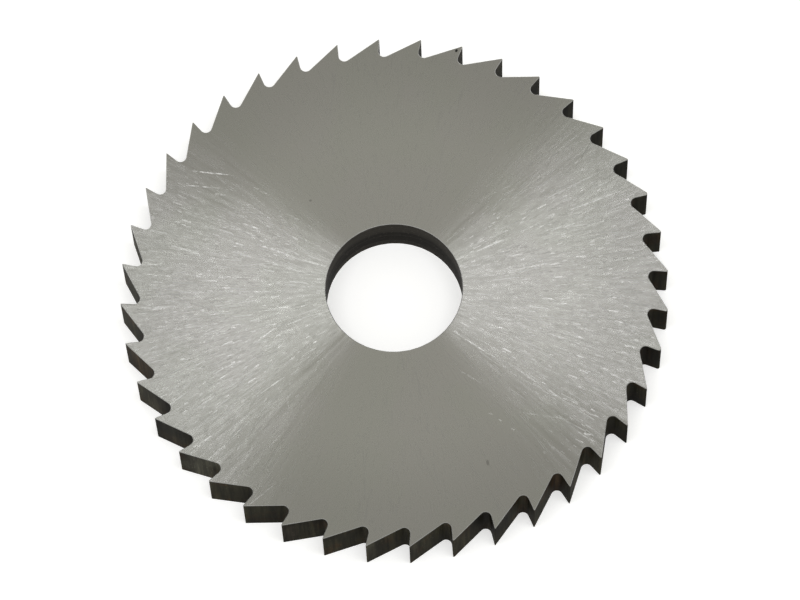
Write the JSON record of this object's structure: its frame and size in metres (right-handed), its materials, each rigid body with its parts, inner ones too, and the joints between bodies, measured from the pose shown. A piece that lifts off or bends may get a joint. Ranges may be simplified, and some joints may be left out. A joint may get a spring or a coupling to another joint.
{
  "type": "slitting saw",
  "caption": "Solid circular slitting saw with fine hooked teeth round its rim and a plain bore, clamped on an arbor to cut narrow slots.",
  "frame": {"origin": "on the bore axis, at half the thickness", "axes": "+Z along the bore axis, out of the face from which the saw cuts clockwise; +X through the tip of one tooth; +Y completes the right-hand frame and also passes through a tip"},
  "size_m": [0.032, 0.032, 0.003],
  "materials": {
    "ground_steel": "bare tool steel, ground on both faces with fine marks that run out from the bore, and darker on the tooth walls and in the bore"
  },
  "bodies": {
    "root": {"slitting_saw": "ground_steel"}
  },
  "joints": []
}
